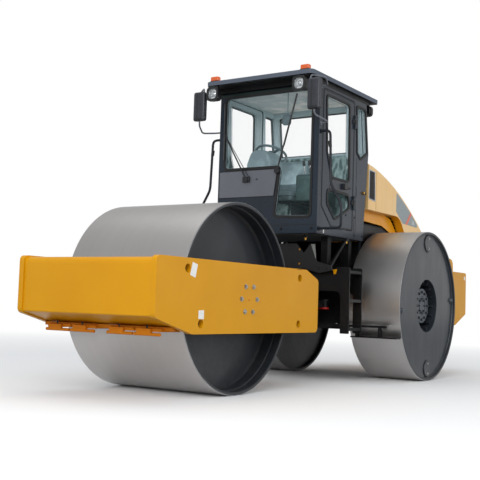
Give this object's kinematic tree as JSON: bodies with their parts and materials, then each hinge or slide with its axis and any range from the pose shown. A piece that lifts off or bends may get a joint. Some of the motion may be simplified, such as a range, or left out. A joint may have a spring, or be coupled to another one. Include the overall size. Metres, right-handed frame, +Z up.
{
  "type": "three-wheel static road roller",
  "caption": "Articulated road roller with a wide front drum in a box frame, a cab, smooth rear steel wheels, a tilting engine hood and a counterweight.",
  "frame": {"origin": "on the ground under the middle of the machine's length and width", "axes": "+Z up, the machine's front faces -Y, +X is the machine's left"},
  "size_m": [2.308, 6.302, 3.2573],
  "materials": {
    "frame_yellow": "semi-gloss mustard yellow paint",
    "hood_yellow": "semi-gloss pale yellow paint",
    "cab_grey": "semi-gloss charcoal grey paint",
    "rolled_steel": "smooth rolled steel",
    "dark_steel": "satin dark grey paint",
    "black_steel": "satin black paint",
    "black_plastic": "matt black plastic",
    "glass": "tinted clear glass",
    "amber": "translucent amber plastic",
    "seat": "black vinyl upholstery",
    "chrome": "hard chrome"
  },
  "bodies": {
    "rear_frame": {"amber_lamp_left": "amber", "amber_lamp_right": "amber", "cab_floor": "cab_grey", "cab_front": "cab_grey", "cab_rear": "cab_grey", "cab_roof": "cab_grey", "cab_side_left": "cab_grey", "cab_side_right": "cab_grey", "console": "black_plastic", "counterweight": "frame_yellow", "engine_block": "dark_steel", "grab_rail_left": "black_steel", "grab_rail_right": "black_steel", "mirror_left": "black_plastic", "mirror_right": "black_plastic", "quarter_glass_left": "glass", "quarter_glass_right": "glass", "rear_axle": "black_steel", "rear_chassis": "black_steel", "rear_glass": "glass", "rear_lamp_left": "black_plastic", "rear_lamp_right": "black_plastic", "rear_scraper_left": "black_steel", "rear_scraper_right": "black_steel", "seat": "seat", "steering_wheel": "black_plastic", "steps_left": "black_steel", "steps_right": "black_steel", "windscreen": "glass", "wiper_left": "black_plastic", "wiper_right": "black_plastic", "work_lamp_left": "black_plastic", "work_lamp_right": "black_plastic"},
    "front_frame": {"front_beam": "frame_yellow", "rear_beam": "frame_yellow", "front_scraper": "frame_yellow", "side_plate_left": "frame_yellow", "side_plate_right": "frame_yellow"},
    "front_drum": {"front_drum": "rolled_steel"},
    "rear_wheel_left": {"rear_wheel_left": "rolled_steel", "wheel_disc_left": "dark_steel"},
    "rear_wheel_right": {"rear_wheel_right": "rolled_steel", "wheel_disc_right": "dark_steel"},
    "door_left": {"door_left": "cab_grey", "door_glass_left": "glass"},
    "door_right": {"door_right": "cab_grey", "door_glass_right": "glass"},
    "hood": {"hood": "hood_yellow"},
    "steering_barrel_left": {"steering_barrel_left": "black_steel"},
    "steering_barrel_right": {"steering_barrel_right": "black_steel"},
    "steering_rod_left": {"steering_rod_left": "chrome"},
    "steering_rod_right": {"steering_rod_right": "chrome"}
  },
  "joints": [
    {"name": "steering", "type": "hinge", "parent": "rear_frame", "child": "front_frame", "pos_m": [0, -0.349, 0.825], "axis": [0, 0, 1], "range_deg": [-32, 32]},
    {"name": "front_drum_spin", "type": "hinge", "parent": "front_frame", "child": "front_drum", "pos_m": [0, -1.849, 0.85], "axis": [1, 0, 0], "continuous": true},
    {"name": "rear_wheel_left_spin", "type": "hinge", "parent": "rear_frame", "child": "rear_wheel_left", "pos_m": [1.154, 1.337, 0.85], "axis": [1, 0, 0], "continuous": true},
    {"name": "rear_wheel_right_spin", "type": "hinge", "parent": "rear_frame", "child": "rear_wheel_right", "pos_m": [-1.154, 1.337, 0.85], "axis": [1, 0, 0], "continuous": true},
    {"name": "door_left_swing", "type": "hinge", "parent": "rear_frame", "child": "door_left", "pos_m": [0.642, 0.389, 2.85], "axis": [0, 0, 1], "range_deg": [0, 90]},
    {"name": "door_right_swing", "type": "hinge", "parent": "rear_frame", "child": "door_right", "pos_m": [-0.642, 0.389, 2.85], "axis": [0, 0, -1], "range_deg": [0, 90]},
    {"name": "hood_tilt", "type": "hinge", "parent": "rear_frame", "child": "hood", "pos_m": [0, 3.011, 1.34], "axis": [-1, 0, 0], "range_deg": [0, 45]},
    {"name": "steering_barrel_left_swing", "type": "hinge", "parent": "rear_frame", "child": "steering_barrel_left", "pos_m": [0.28, 0.401, 0.83], "axis": [0, 0, 1], "range_deg": [-7, 7]},
    {"name": "steering_barrel_right_swing", "type": "hinge", "parent": "rear_frame", "child": "steering_barrel_right", "pos_m": [-0.28, 0.401, 0.83], "axis": [0, 0, 1], "range_deg": [-7, 7]},
    {"name": "steering_rod_left_slide", "type": "slide", "parent": "steering_barrel_left", "child": "steering_rod_left", "axis": [0.0857, -0.9963, 0], "range_m": [-0.19, 0.19]},
    {"name": "steering_rod_right_slide", "type": "slide", "parent": "steering_barrel_right", "child": "steering_rod_right", "axis": [-0.0857, -0.9963, 0], "range_m": [-0.19, 0.19]}
  ],
  "couplings": [
    {"joint": "steering_barrel_left_swing", "follows": "steering", "ratio": 0.2077},
    {"joint": "steering_barrel_right_swing", "follows": "steering", "ratio": 0.2077},
    {"joint": "steering_rod_left_slide", "follows": "steering", "m_per_rad": -0.3346},
    {"joint": "steering_rod_right_slide", "follows": "steering", "m_per_rad": 0.3346}
  ]
}
